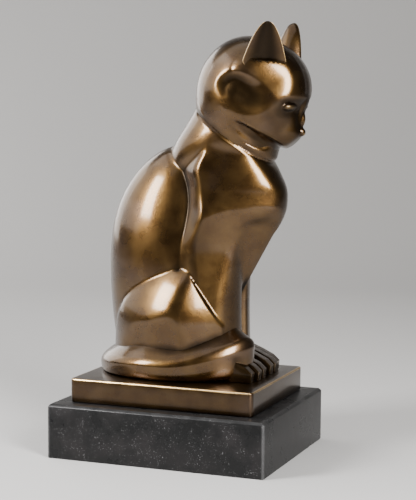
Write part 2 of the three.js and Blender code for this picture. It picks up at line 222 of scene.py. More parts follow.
# %% The masses of the body
BACK_WAIST = 80
BACK_ABOVE, BACK_BELOW = 86.5, 132.0
BACK_HALF, BACK_DEPTH = 33.5, 48
LEG_CORNER = (-0.5806, -0.814, 0)
SLOT_DEPTH, SLOT_HALF = 16, 3.6
WEDGE_SIDE = ((0, -51, 78.1), (-0.7225, -0.602, -0.339))
WEDGE_FRONT = ((0, -48.7, 78.1), (0, -0.878, -0.478))
ARCH_TOP = 123.5
HAUNCH_EGG = ((0, -8, 20), (OPEN, 62, 58.5))
HAUNCH_OVAL = (3, 46.5, 56, 56)
HAUNCH_FRONT = ((-33, -26, 51), (0, -0.85, 0.527))
HAUNCH_INNER = ((-30, -37, 0), (0.6, -0.8, 0))
THIGH_SIDE = ((-46.3, 8, 43), (-0.975, 0.154, 0.156), 80)
THIGH_FRONT = ((-36.5, -20, 52), (-0.82, -0.563, 0.14), 90)
SHIN_BACK = ((-45.6, 16, 42), (-0.94, 0.28, -0.2))
SHIN_FRONT = ((-46.2, 4, 43), (-0.98, 0.04, -0.2))
THROAT = ((0, -66.5, 160), (0, -0.995, -0.1))
THROAT_DEPTH = 44
LEAF = (-52, 175)
LEAF_ALONG = (-0.782, -0.622)
LEAF_HALF, LEAF_WIDTH = 18, 6.5
LEAF_ON_NECK = 5
GROOVE_DEPTH, GROOVE_WIDTH = 1.8, 1.4


def back_reach(turn, axis, h):
    """Plan ovals that shrink up and down from the waist as sqrt(1 - ((h - 80) / rise)^2)."""
    rise = np.where(h > BACK_WAIST, BACK_ABOVE, BACK_BELOW)
    size = np.sqrt(np.maximum(1 - ((h - BACK_WAIST) / rise) ** 2, 0))
    centre = 16 - 0.0022 * np.maximum(h - 104, 0) ** 2
    depth = BACK_DEPTH * size
    return np.where(size < 0.02, 0, oval_reach(turn, axis, centre, BACK_HALF * size, depth, depth))


def leg_reach(turn, h, o, d):
    """The forelegs' front plane and outer corner, parted by a slot 16 exp(-(a / 3.6)^4) deep."""
    front = curve(FORELEG, h)
    leg = soft_min(5, plane_reach(o, d, vec(0, front, h), (0, -1, 0)),
                   plane_reach(o, d, vec(-16, front, h), LEG_CORNER))
    across = np.abs(np.sin(turn)) * leg
    slot = SLOT_DEPTH * np.exp(-(across / SLOT_HALF) ** 4) * (np.cos(turn) > 0)
    return leg - slot * (1 - ramp(h, 60, 75))


def front_reach(turn, axis, h, o, d):
    """The chest's oval over the legs' planes, joined along an arch, then trimmed by the collar,
    the flank and the band behind the shoulder ridge."""
    depth, spread = curve(RIDGE_DEPTH, h), curve(RIDGE_SPREAD, h)
    outer = oval_reach(turn, axis, depth, spread + 1.5, depth - curve(BREAST, h),
                       curve(NAPE, h) - depth)
    wedge = soft_min(5, plane_reach(o, d, *WEDGE_SIDE), plane_reach(o, d, *WEDGE_FRONT))
    keel = soft_min(3, wedge, outer + 40 * (1 - ramp(h, 90, 104)))
    inner = soft_max(keel, leg_reach(turn, h, o, d), 2.5)
    across = np.abs(np.sin(turn)) * outer
    fall_inside = 8 * (np.clip(20 - across, 0, 20) / 20) ** 2
    fall_outside = 9 * (np.maximum(across - 22, 0) / 7) ** 2
    arch = ARCH_TOP - fall_inside - fall_outside
    swell = ramp(h, arch - 14, arch + 3)
    chest = soft_min(3, inner + (outer - inner) * swell, plane_reach(o, d, COLLAR, COLLAR_FACING))
    band_turn, flank_turn = np.radians(curve(BAND_TURN, h)), np.radians(curve(FLANK_TURN, h))
    ridge = vec(-spread, depth, h)
    band = plane_reach(o, d, ridge, vec(-np.cos(band_turn), np.sin(band_turn), 0))
    flank = plane_reach(o, d, ridge, vec(-np.cos(flank_turn), -np.sin(flank_turn), 0))
    trimmed = soft_min(3, soft_min(3 + 15 * ramp(h, 112, 135), chest, flank), band)
    return np.minimum(trimmed, plane_reach(o, d, vec(0, 20, h), (0, 1, 0)))


def facet_reach(o, d, middle, normal, radius):
    """A plane that swells: a ball of the radius that touches the plane at its middle."""
    middle, normal = np.array(middle, float), np.array(normal, float)
    return egg_reach(o, d, middle - normal / np.linalg.norm(normal) * radius, (radius,) * 3)


def haunch_reach(turn, axis, h, o, d):
    """An egg seen from the side and an oval in plan, cut by two planes in front, with two swelling
    facets for the thigh and two planes for the shin under it."""
    mass = soft_min(2.5, egg_reach(o, d, *HAUNCH_EGG), oval_reach(turn, axis, *HAUNCH_OVAL),
                    plane_reach(o, d, *HAUNCH_FRONT), plane_reach(o, d, *HAUNCH_INNER))
    thigh = soft_min(2.5, facet_reach(o, d, *THIGH_SIDE), facet_reach(o, d, *THIGH_FRONT))
    shin = soft_min(1, plane_reach(o, d, *SHIN_BACK), plane_reach(o, d, *SHIN_FRONT))
    return soft_min(1.5, mass, thigh, shin)


def neck_reach(turn, axis, h, o, d):
    """A plan oval that narrows upwards, flattened at the throat."""
    centre = curve(NECK_CENTRE, h)
    oval = oval_reach(turn, axis, centre, curve(NECK_SPREAD, h), THROAT_DEPTH,
                      curve(NAPE, h) - centre)
    return soft_min(12, oval, plane_reach(o, d, *THROAT)) * ramp(h, 134, 138)


def slanted(b, h, middle, axis):
    """The place (b, h) from the middle, along an axis of the side view and across it."""
    b, h = b - middle[0], h - middle[1]
    return b * axis[0] + h * axis[1], b * axis[1] - h * axis[0]


def leaf(b, h):
    """1 in a slanting leaf on the side of the neck under the jaw, 0 outside it."""
    along, across = slanted(b, h, LEAF, LEAF_ALONG)
    return ramp(1 - np.hypot(along / LEAF_HALF, across / LEAF_WIDTH), 0, 0.7)


def body_point(turn, h):
    """The largest reach of all masses, less the collar's groove and the leaf on the neck."""
    axis = curve(AXIS, h)
    o, d = vec(0, axis, h), vec(-np.abs(np.sin(turn)), -np.cos(turn), 0)
    reach = soft_max(back_reach(turn, axis, h), front_reach(turn, axis, h, o, d), 1)
    reach = soft_max(reach, haunch_reach(turn, axis, h, o, d), 1)
    reach = soft_max(reach, neck_reach(turn, axis, h, o, d), 1)
    b = axis - np.cos(turn) * reach
    above = (b - COLLAR[1]) * COLLAR_FACING[1] + (h - COLLAR[2]) * COLLAR_FACING[2]
    reach = reach - GROOVE_DEPTH * np.exp(-(above / GROOVE_WIDTH) ** 2) * ramp(-b, 4, 14)
    reach = reach - LEAF_ON_NECK * leaf(b, h) * ramp(np.abs(np.sin(turn)), 0.2, 0.4)
    return vec(-np.sin(turn) * reach, axis - np.cos(turn) * reach, h)


print("reach to the side at half height:",
      -body_point(np.array([math.pi / 2]), np.array([100.0]))[0, 0].round(1), "shares")


# %% [markdown]
# ## From a grid of points to a mesh
# Every skin here is a grid of rows, each row closed on itself, with a fan of triangles over both
# ends. The faces are counted out with whole arrays, and Blender then turns them all outwards.

# %% Mesh from a closed grid
FULL = 2 * math.pi
CROWDING = 0.2


def mesh_piece(name, points, faces):
    """A mesh object at the origin, with its faces turned outwards."""
    mesh = bpy.data.meshes.new(name)
    mesh.from_pydata(points.tolist(), [], faces)
    shell = bmesh.new()
    shell.from_mesh(mesh)
    bmesh.ops.recalc_face_normals(shell, faces=shell.faces)
    shell.to_mesh(mesh)
    shell.free()
    piece = bpy.data.objects.new(name, mesh)
    bpy.context.collection.objects.link(piece)
    return piece


def ring_quads(rows, columns):
    """Quads between rows j and j + 1 and columns i and i + 1, the last column beside the first."""
    i, j = np.meshgrid(np.arange(columns), np.arange(rows - 1))
    a, b = j * columns + i, j * columns + (i + 1) % columns
    return np.stack([a, b, b + columns, a + columns], -1).reshape(-1, 4).tolist()


def closed_skin(name, grid):
    """The grid's rows joined by quads, and a fan of triangles from a middle point at each end."""
    rows, columns = grid.shape[:2]
    centres = grid[[0, -1]].mean(1)
    points = placed(np.concatenate([grid.reshape(-1, 3), centres]))
    ring, after = np.arange(columns), (np.arange(columns) + 1) % columns
    foot, top = rows * columns, (rows - 1) * columns
    fans = np.concatenate([np.stack([np.full(columns, foot), after, ring], -1),
                           np.stack([np.full(columns, foot + 1), top + ring, top + after], -1)])
    return mesh_piece(name, points, ring_quads(rows, columns) + fans.tolist())


def grid_of(rows, columns, point_at):
    """The points of a surface at rows + 1 values of v from 0 to 1 and columns values of u."""
    u, v = np.meshgrid(np.arange(columns) / columns, np.arange(rows + 1) / rows)
    return point_at(u, v)


def closer(share):
    """Columns stand closer at the sides than at breast and back: 2 pi u + 0.2 sin(4 pi u)."""
    return share * FULL + CROWDING * np.sin(2 * share * FULL)


body = closed_skin("body", grid_of(rows=250, columns=200,
                                   point_at=lambda u, v: body_point(closer(-u), v * BODY_TOP)))
print("body:", len(body.data.polygons), "faces")

# %% [markdown]
# ## The head
# The head is a second skin, seen from a place inside the skull. Eggs for the crown, the forehead,
# the cheeks and the muzzle make the mass, and planes trim them. On it come the carved features
# that show from a step away: the step under the brow with the eye's lens in it, the thin bridge of
# the nose, and the long shallow hollow that sweeps from behind the ear down to the cheekbone.

# %% Skull, face and muzzle
SKULL = np.array([0, -46, 203.0])
CROWN = ((0, -45.5, 207), (35, 39.6, 37.6))
OCCIPUT = ((0, -40, 198), (32.4, 36, 46))
FOREHEAD = ((0, -58, 207.5), (29, 30.3, 31))
TEMPLE = ((-27.5, -62, 212), (-0.93, -0.33, 0.16))
JAW_UNDER = ((0, -68.6, 166.4), (-0.25, 0.4, -0.88))
JAW_SIDE = ((-22, -68.5, 186.4), (-0.743, -0.634, -0.216))
CHIN = ((0, -76.2, 169.3), (0, -0.62, -0.785))
CHEEK = ((0, -52, 190), (31, 31.5, 27), 25)
CHEEK_FLAT = ((-25.5, -62, 188), (-0.86, -0.5, 0))
MUZZLE = ((0, -63, 179), (15.5, 20, 14.5), 18)
EYE = ((-13.3, -75.5, 194.8), (8, 6.8, 3.8), -6)
BRIDGE = ((0, -70, 186), (4.5, 15.2, 12), -6)
BRIDGE_SIDE = ((-2.6, -84, 180), (-0.93, -0.3, 0.1))
NOSE_TIP = ((0, -81.3, 177.5), (3, 4.2, 3.4), 25)
BROW = 200.0
BROW_STEP_SIDE, BROW_STEP_MORE = 0.4, 1.8
FOREHEAD_DIP = 0.5
LEAF_ON_HEAD = 2.2
HOLLOW = (-51, 203)
HOLLOW_ALONG = (-0.914, -0.407)
HOLLOW_HALF, HOLLOW_WIDTH, HOLLOW_DEPTH = 24, 13.5, 3.2
EAR_TURN = 30
EAR_COS, EAR_SIN = math.cos(math.radians(EAR_TURN)), math.sin(math.radians(EAR_TURN))
EAR_ROOT = (-25, -62.5)
EAR_HALF = 15.5
EAR_SWELL = ((-18.5, -59.5, 219), (8, 20, 12), 0, EAR_TURN)
POLE_GAP = 0.01


def head_mass(s):
    """The soft maximum of the eggs, each trimmed by its planes, along rays s from the skull."""
    def egg(form):
        return egg_reach(SKULL, s, *form)

    def cut(plane):
        return plane_reach(SKULL, s, *plane)
    crown = soft_max(egg(CROWN), egg(OCCIPUT), 3)
    skull = soft_min(4, soft_max(crown, egg(FOREHEAD), 4), cut(TEMPLE))
    skull = soft_max(skull, egg(EAR_SWELL), 6)
    under, side, chin = cut(JAW_UNDER), cut(JAW_SIDE), cut(CHIN)
    cheek = soft_min(5, egg(CHEEK), cut(CHEEK_FLAT))
    muzzle = soft_min(2.5, egg(MUZZLE), under, side, chin)
    return soft_max(soft_max(skull, soft_min(2, cheek, under, side), 4), muzzle, 4)


def hollow(b, h):
    """1 in the cheek's hollow: an egg drawn along a slanting axis, narrower to the front, with a
    crisp rim behind and above and a soft one below and in front."""
    along, across = slanted(b, h, HOLLOW, HOLLOW_ALONG)
    depth = 1 - np.hypot(along / HOLLOW_HALF, across / (HOLLOW_WIDTH - 0.16 * along))
    soft = np.minimum(ramp(along, -16, 4) + ramp(-across, -2, 10), 1)
    crisp_rim = ramp(depth, -0.03, 0.34) * (1 - soft)
    soft_rim = ramp(depth, -0.1, 0.9) * soft * (1 - 0.3 * ramp(along, 0, HOLLOW_HALF))
    return crisp_rim + soft_rim


def ear_frame(a, b):
    """From the right ear's root: how far a place lies out, as the ear faces, and along its width."""
    a, b = a - EAR_ROOT[0], b - EAR_ROOT[1]
    return -EAR_COS * a - EAR_SIN * b, EAR_SIN * a - EAR_COS * b


def ear_seat(a, b, h):
    """How far the skull stands out before the ear's dish, above a ledge that falls to the front."""
    out, along = ear_frame(a, b)
    inside = 1 - np.minimum((along / EAR_HALF) ** 2, 1)
    ledge = ramp(h + 0.11 * along, 226.8, 228.2)
    return np.maximum(out + 5 * inside, 0) * ramp(inside, 0, 0.15) * ledge


def head_point(turn, tilt):
    """SKULL + d * reach, with d = (sin tilt sin turn, cos tilt, sin tilt cos turn). The reach is
    the mass less the ear's seat, the brow's step and the forehead's dip. Then the eye and the nose
    are set on, and the cheek's hollow and the leaf under the jaw are taken off."""
    d = vec(np.sin(tilt) * np.sin(turn), np.cos(tilt), np.sin(tilt) * np.cos(turn))
    s = vec(-np.abs(d[..., 0]), d[..., 1], d[..., 2])
    reach = head_mass(s)
    a, b, h = np.moveaxis(SKULL + s * reach[..., None], -1, 0)
    reach = reach - ear_seat(a, b, h)
    line = BROW + 0.06 * (b + 75)
    step = (BROW_STEP_SIDE + BROW_STEP_MORE * ramp(-b, 72, 83)) * ramp(-b, 66, 78) * ramp(-a, 2, 6)
    reach = reach - step * (1 - ramp(h, line - 4.6, line + 3)) * ramp(h, 176, 193)
    dip = FOREHEAD_DIP * np.exp(-(a / 7) ** 6) * ramp(h, 201, 205) * (1 - ramp(h, 222, 236))
    reach = reach - dip * ramp(-b, 60, 70)
    reach = soft_max(reach, egg_reach(SKULL, s, *EYE), 0.4)
    bridge = soft_min(1, egg_reach(SKULL, s, *BRIDGE), plane_reach(SKULL, s, *BRIDGE_SIDE))
    tip = egg_reach(SKULL, s, *NOSE_TIP)
    reach = soft_max(reach, soft_max(bridge, tip, 1), 1.5)
    a, b, h = np.moveaxis(SKULL + s * reach[..., None], -1, 0)
    reach = reach - HOLLOW_DEPTH * hollow(b, h) * ramp(-a, 4, 10)
    reach = reach - LEAF_ON_HEAD * leaf(b, h) * ramp(-a, 6, 12)
    return SKULL + d * reach[..., None]


def head_tilt(share):
    """From almost straight back to almost straight ahead, with a small gap at both poles."""
    return POLE_GAP + share * (math.pi - 2 * POLE_GAP)


head = closed_skin("head", grid_of(rows=180, columns=220,
                                   point_at=lambda u, v: head_point(-u * FULL, head_tilt(v))))
print("head:", len(head.data.polygons), "faces")

# %% [markdown]
# ## The ears
# Each ear is a leaf. Its outer face is dished, with a thin lip all round, and its inner face is
# round. The leaf is drawn row by row from its root, which stays in the skull, to its tip.

# %% Ears
EAR_FOOT = 226.5
EAR_RISE, EAR_DIFFERENCE = 27.9, 0.6
EAR_SPREAD, EAR_LEAN = 4.4, 3.9
EAR_DISH, EAR_SHELL = 4.8, 6.5
EAR_BELOW = 1.35
EAR_END = 0.985


def ear_point(side, around, grow):
    """A row of half width 15.5 t at height 226.5 + rise (1 - t^2), with t^2 from 1.35 in the skull
    to 0 at the tip, dished by 4.8 t sin^2 outside and swelling by 6.5 t |sin|^1.2 inside, turned
    to face forwards and out. The rise is 27.3 on the right and 28.5 on the left."""
    narrow = (1 - grow) * math.sqrt(EAR_BELOW)
    rise, size = 1 - narrow**2, np.minimum(narrow, 1)
    half = EAR_HALF * np.minimum(narrow, 1 - 1.8 * (narrow - 1))
    x, y = np.cos(around), np.sin(around)
    lip = np.minimum(narrow * 4, 1) * np.sqrt(np.abs(y))
    dish = EAR_DISH * size * y * y
    shell = EAR_SHELL * size * np.abs(y) ** 1.2
    out = np.where(y > 0, lip - dish, -dish - shell - lip)
    spread = EAR_SPREAD * np.maximum(rise, 0) + 14 * np.minimum(rise, 0)
    a = spread - EAR_ROOT[0] - EAR_SIN * half * x + EAR_COS * out
    b = EAR_ROOT[1] - EAR_LEAN * rise - EAR_COS * half * x - EAR_SIN * out
    return vec(side * a, b, EAR_FOOT + (EAR_RISE + EAR_DIFFERENCE * side) * rise)


ears = []
for side in (-1, 1):
    grid = grid_of(rows=44, columns=56,
                   point_at=lambda u, v: ear_point(side, side * u * FULL, v * EAR_END))
    ears.append(closed_skin("ear", grid))
print("ears:", len(ears))

# %% [markdown]
# ## The tail
# The tail leaves the rump behind, lies round the cat's right side on the plinth and rises a little
# before it ends at the near forepaw. It is one section carried along a little more than half an
# ellipse, with a crest where the outer wall meets the top.

# %% Tail
TAIL_MIDDLE = (-5, 10)
TAIL_START, TAIL_SWEEP = -30, 206
TAIL_HALF, TAIL_BACK, TAIL_FRONT = 39, 50.5, 58.5
TAIL_OUTER, TAIL_INNER, TAIL_TOP = 8.2, 8.5, 12.2
TAIL_STEP = 0.01


def tail_centre(along):
    """An ellipse round the haunch, from -30 degrees to 176, lifted over its last part."""
    turn = np.radians(TAIL_START + along * TAIL_SWEEP)
    depth = np.where(np.cos(turn) > 0, TAIL_BACK, TAIL_FRONT)
    height = 8 + 3.5 * ramp(along, 0.2, 0.55) + 11.6 * ramp(along, 0.6, 0.96)
    return vec(TAIL_MIDDLE[0] - TAIL_HALF * np.sin(turn),
               TAIL_MIDDLE[1] + depth * np.cos(turn), height)


def tail_point(around, along):
    """centre + out * across + up, where the section is the soft minimum of six walls: the outer
    one, the crest's slope, the top, the inner one, the undercut and the floor."""
    rise = ramp(along, 0.6, 0.96)
    wide, high = 1 + 0.38 * rise, 0.78 + 0.22 * ramp(along, 0.2, 0.55) + 0.4 * rise
    centre = tail_centre(along)
    run = tail_centre(along + TAIL_STEP) - tail_centre(along - TAIL_STEP)
    run = run / np.hypot(run[..., 0], run[..., 1])[..., None]
    c, s = np.cos(around), np.sin(around)

    def wall(x, z, nx, nz):
        toward = c * nx + s * nz
        return np.where(toward > PARALLEL, (x * nx + z * nz) / np.maximum(toward, PARALLEL), OPEN)
    outer = TAIL_OUTER * wide
    section = soft_min(4 + 7 * rise,
                       wall(outer, 0, 1, 0),
                       wall(outer, high * (1 + 3 * rise), 0.7 - 0.22 * rise, 0.714 + 0.16 * rise),
                       wall(0, TAIL_TOP * high, 0.2, 0.98),
                       wall(-TAIL_INNER * wide, 0, -1, 0),
                       wall(outer, -5 * high, 0.96, -0.28),
                       wall(0, -centre[..., 2], 0, -1))
    taper = np.sqrt(np.maximum(1 - np.clip((along - 0.86) / 0.14, 0, 1) ** 2.4, 0))
    across, up = section * taper * c, section * taper * s
    return vec(centre[..., 0] + run[..., 1] * across, centre[..., 1] - run[..., 0] * across,
               np.maximum(centre[..., 2] + up, 0))


tail = closed_skin("tail", grid_of(rows=150, columns=48,
                                   point_at=lambda u, v: tail_point(u * FULL, v)))
print("tail:", len(tail.data.polygons), "faces")

# %% [markdown]
# ## The toes
# Three toes stand side by side at each forefoot. They are planed rather than round: a flat top that
# slopes to the front, a nearly upright front and eased edges. One profile is carried across.

# %% Toes
TOES = ((28, -57), (18, -59), (8, -59))
TOE_WIDTH = 8.6
TOE_PROFILE = ((0, 0), (-0.8, 6.5), (3.8, 10.8), (13, 15.2), (24, 19.5), (24, 0))
TOE_MIDDLE = (12, 7)
TOE_ROUND = 6


def toe_point(across, front, around, along):
    """The profile, drawn in towards its middle by (1 - |t|^6)^(1/6) at both sides."""
    t = 2 * along - 1
    size = (1 - np.abs(t) ** TOE_ROUND) ** (1 / TOE_ROUND)
    knots = np.array(TOE_PROFILE + TOE_PROFILE[:1], float)
    lengths = np.concatenate([[0], np.cumsum(np.hypot(*np.diff(knots, axis=0).T))])
    b = np.interp(around * lengths[-1], lengths, knots[:, 0])
    h = np.interp(around * lengths[-1], lengths, knots[:, 1])
    return vec(across + t * TOE_WIDTH / 2,
               front + TOE_MIDDLE[0] + (b - TOE_MIDDLE[0]) * (0.78 + 0.22 * size),
               TOE_MIDDLE[1] + (h - TOE_MIDDLE[1]) * (0.6 + 0.4 * size))


toes = []
for side in (-1, 1):
    for across, front in TOES:
        grid = grid_of(rows=16, columns=48,
                       point_at=lambda u, v: toe_point(side * across, front, u, v))
        toes.append(closed_skin("toe", grid))
print("toes:", len(toes))

# %% [markdown]
# ## One casting
# The real figure is a single casting, so the skins are joined into one shell. A Boolean union with
# the manifold solver does that cleanly, because every skin is closed. The result is made a plain
# mesh and the parts it was made from are removed. Where skins cross at a shallow angle the union
# leaves needle-thin triangles, so points that lie closer than a fiftieth of a millimetre are welded.

# %% Join the skins
SLIVER = 2e-5
CAST_EDGE = 42


def joined(name, first, others):
    """The union of all skins as one mesh object, shaded smooth with its sharp edges kept."""
    for other in others:
        union = first.modifiers.new("union", "BOOLEAN")
        union.operation = "UNION"
        union.solver = "MANIFOLD"
        union.object = other
    whole = first.evaluated_get(bpy.context.evaluated_depsgraph_get())
    mesh = bpy.data.meshes.new_from_object(whole)
    mesh.name = name
    mesh.materials.clear()
    shell = bmesh.new()
    shell.from_mesh(mesh)
    bmesh.ops.remove_doubles(shell, verts=shell.verts, dist=SLIVER)
    bmesh.ops.dissolve_degenerate(shell, edges=shell.edges, dist=SLIVER / 10)
    shell.to_mesh(mesh)
    shell.free()
    for part in [first, *others]:
        bpy.data.objects.remove(part)
    mesh.shade_smooth()
    mesh.set_sharp_from_angle(angle=math.radians(CAST_EDGE))
    piece = bpy.data.objects.new(name, mesh)
    bpy.context.collection.objects.link(piece)
    return piece


cat = joined("cat_casting", body, [head, tail, *ears, *toes])
print("cat:", len(cat.data.vertices), "vertices", len(cat.data.polygons), "faces")

# %% [markdown]
# ## Where hands and cloth reach, and where shade is painted
# Bronze is patinated brown and then waxed. Handling rubs the ridges back to gold, while dirt and
# wax stay in the creases, and the creases and recesses are darkened further with painted shade.
# Both follow the bend of the surface, so the bend is measured at every vertex. Wide recesses, such
# as the dishes of the ears, bend too gently to be found that way, so they are told from place and
# facing, and so are the muzzle and the low flank, which get painted shade too. All three measures
# are kept on the mesh as attributes that the finish can read.

# %% Bend and recess of the surface as attributes
LEAST_SQUARE = 1e-8
def vertex_array(mesh, source, key):
    """One vector a vertex, read with foreach_get."""
    values = np.empty(len(mesh.vertices) * 3)
    source.foreach_get(key, values)
    return values.reshape(-1, 3)


def bend_of(mesh, rounds):
    """The mean over the edges of (n2 - n1) . (p2 - p1) / |p2 - p1|^2, in 1/m, evened out over the
    neighbours some rounds: above 0 on a ridge, below 0 in a crease."""
    points = vertex_array(mesh, mesh.vertices, "co")
    normals = vertex_array(mesh, mesh.vertex_normals, "vector")
    ends = np.empty(len(mesh.edges) * 2, int)
    mesh.edges.foreach_get("vertices", ends)
    i, j = ends.reshape(-1, 2).T
    span = points[j] - points[i]
    reach = np.maximum((span**2).sum(1), LEAST_SQUARE)
    turn = ((normals[j] - normals[i]) * span).sum(1) / reach
    weight = np.sqrt(reach)
    count = len(points)
    total = np.bincount(i, weight, count) + np.bincount(j, weight, count)
    bend = (np.bincount(i, turn * weight, count) + np.bincount(j, turn * weight, count)) / total
    for _ in range(rounds):
        spread = np.bincount(i, bend[j] * weight, count) + np.bincount(j, bend[i] * weight, count)
        bend = 0.5 * bend + 0.5 * spread / total
    return bend


def keep(mesh, name, values):
    """A number for each vertex, as an attribute of the mesh."""
    layer = mesh.attributes.new(name, "FLOAT", "POINT")
    layer.data.foreach_set("value", values.astype(np.float32))


def recess_patina_and_shade(mesh):
    """Towards 1 in the dishes of the ears, the cheeks' hollows, the sockets of the eyes, the slot
    between the forelegs and the gaps between the toes, where dark patina stays and shade is painted
    over it, and about half on the muzzle and the low flank, which is painted shade only. Nothing
    rubs the patina where this is high. It comes from each vertex's place and facing."""
    a, b, h = ((vertex_array(mesh, mesh.vertices, "co") - (FIGURE_OFFSET, 0, cat_low.z)) / SHARE).T
    facing = vertex_array(mesh, mesh.vertex_normals, "vector")
    rise = np.clip((h - EAR_FOOT) / (EAR_RISE + EAR_DIFFERENCE), 0, 0.99)
    out, along = ear_frame(EAR_SPREAD * rise - np.abs(a), b + EAR_LEAN * rise)
    outward = EAR_COS * np.sign(a) * facing[:, 0] - EAR_SIN * facing[:, 1]
    dish = (ramp(1 - (along / EAR_HALF) ** 2 / (1 - rise), 0.05, 0.9) * ramp(out, -7, -6)
            * ramp(outward, 0.1, 0.4) * (h > 226))
    cheek = ramp(hollow(b, h), 0.05, 0.9) * ramp(np.abs(a), 8, 16) * (h > 180) * (h < 224)
    slot = ramp(-b, 26, 30) * (1 - ramp(np.abs(a), 2.6, 4.4)) * (1 - ramp(h, 66, 76))
    gaps = ramp(-b, 42, 46) * ramp(np.abs(facing[:, 0]), 0.45, 0.8) * (1 - ramp(h, 17, 20))
    # Painted shade: the eye sockets, the muzzle and the low flank are darkened as if they lay in
    # shade.
    socket = ramp(-b, 62, 74) * ramp(h, 180, 190) * (1 - ramp(h, 199, 203))
    muzzle = ramp(-b, 50, 68) * ramp(h, 160, 176) * (1 - ramp(h, 192, 200))
    flank = ramp(b, -34, -14) * (1 - ramp(b, -6, 14)) * ramp(h, 72, 84) * (1 - ramp(h, 100, 140))
    return np.maximum.reduce([0.92 * dish, 0.8 * cheek, 0.75 * socket, 0.5 * muzzle, 0.4 * flank,
                              slot, 0.8 * gaps])


# Painted shade over dark patina, kept as the attribute recess, darkens the bronze in these places.
keep(cat.data, "recess", recess_patina_and_shade(cat.data))
for name, rounds in (("bend", 6), ("broad_bend", 60)):
    values = bend_of(cat.data, rounds)
    keep(cat.data, name, values)
    print(name, "from", values.min().round(), "to", values.max().round(), "1/m, usual",
          np.percentile(values, (5, 25, 50, 75, 95)).round(1))

# %% [markdown]
# ## Plinth and marble
# Both are blocks. Their outline is a rectangle with small rounded corners, and a short profile
# gives the eased edges: it runs up the wall, over the arris and in to the top. The plinth has
# softer, worn corners and the marble a narrow polished bevel.

# %% Blocks
PLINTH_ARRIS = 0.0011
PLINTH_CORNER = 0.0035
MARBLE_ARRIS = 0.0022
MARBLE_CORNER = 0.0012
LEAST_CORNER = 0.0002
BLOCK_EDGE = 25


def outline(half_x, half_y, corner, steps=10):
    """Four quarter circles of the corner's radius about the four inner corners."""
    turn = np.linspace(0, math.pi / 2, steps)
    quarter = np.stack([np.cos(turn), np.sin(turn)], -1) * corner
    spins = [np.array([[c, s], [-s, c]]) for c, s in ((1, 0), (0, 1), (-1, 0), (0, -1))]
    inner = np.array([(1, 1), (-1, 1), (-1, -1), (1, -1)]) * (half_x - corner, half_y - corner)
    return np.concatenate([centre + quarter @ spin for centre, spin in zip(inner, spins)])


def block(name, low, high, corner, profile):
    """Rings of the outline, set in and raised by each (inset, height) pair of the profile."""
    half_x, half_y = (high.x - low.x) / 2, (high.y - low.y) / 2
    rings = []
    for inset, height in profile:
        plan = outline(half_x - inset, half_y - inset, max(corner - inset, LEAST_CORNER))
        rings.append(np.column_stack([plan, np.full(len(plan), height)]))
    grid = np.array(rings) + np.array([(low.x + high.x) / 2, (low.y + high.y) / 2, 0])
    rows, columns = grid.shape[:2]
    caps = [list(range(columns)), list(range((rows - 1) * columns, rows * columns))]
    piece = mesh_piece(name, grid.reshape(-1, 3), ring_quads(rows, columns) + caps)
    piece.data.shade_smooth()
    piece.data.set_sharp_from_angle(angle=math.radians(BLOCK_EDGE))
    return piece


def eased(low, high, arris, steps=5):
    """A wall between two quarter rounds of the arris's radius, as (inset, height) pairs."""
    turn = np.linspace(0, math.pi / 2, steps)
    foot = [(arris * (1 - math.sin(t)), low + arris * (1 - math.cos(t))) for t in turn]
    top = [(arris * (1 - math.cos(t)), high - arris * (1 - math.sin(t))) for t in turn]
    return foot + top


def bevelled(low, high, arris):
    """A wall with a flat bevel of the arris's width above and a small one below."""
    small = arris * 0.25
    return [(small, low), (0, low + small), (0, high - arris), (small * 0.4, high - arris + small),
            (arris - small, high - small * 0.4), (arris, high)]


plinth = block("plinth_block", plinth_low, plinth_high, PLINTH_CORNER,
               eased(plinth_low.z, plinth_high.z, PLINTH_ARRIS))
marble = block("marble_block", marble_low, marble_high, MARBLE_CORNER,
               bevelled(marble_low.z, marble_high.z, MARBLE_ARRIS))
print("blocks:", [round(v, 4) for v in (*plinth.dimensions, *marble.dimensions)])

# %% [markdown]
# ## Writing a finish as sums
# A finish is a graph of nodes, but it reads best as sums: 0.3 + 0.2 * speckle. The small class
# below wraps a socket, so that Python's own operators add the Math nodes. Colours are mixed, and
# any other node comes from one method.

# %% A socket that can be used in sums
class Level:
    """A number that varies over the surface."""

    def __init__(self, finish, socket):
        self.finish, self.socket = finish, socket

    def sum_of(self, operation, first, second):
        """A Math node of this operation, with a level or a number on each side."""
        node = self.finish.node("ShaderNodeMath", {"operation": operation}, {0: first, 1: second})
        return Level(self.finish, node.outputs[0])

    def __add__(self, other):
        return self.sum_of("ADD", self, other)

    def __radd__(self, other):
        return self.sum_of("ADD", other, self)

    def __sub__(self, other):
        return self.sum_of("SUBTRACT", self, other)

    def __rsub__(self, other):
        return self.sum_of("SUBTRACT", other, self)

    def __mul__(self, other):
        return self.sum_of("MULTIPLY", self, other)

    def __rmul__(self, other):
        return self.sum_of("MULTIPLY", other, self)

    def __pow__(self, other):
        return self.sum_of("POWER", self, other)

    def most(self, other):
        """The larger of the two."""
        return self.sum_of("MAXIMUM", self, other)

    def least(self, other):
        """The smaller of the two."""
        return self.sum_of("MINIMUM", self, other)


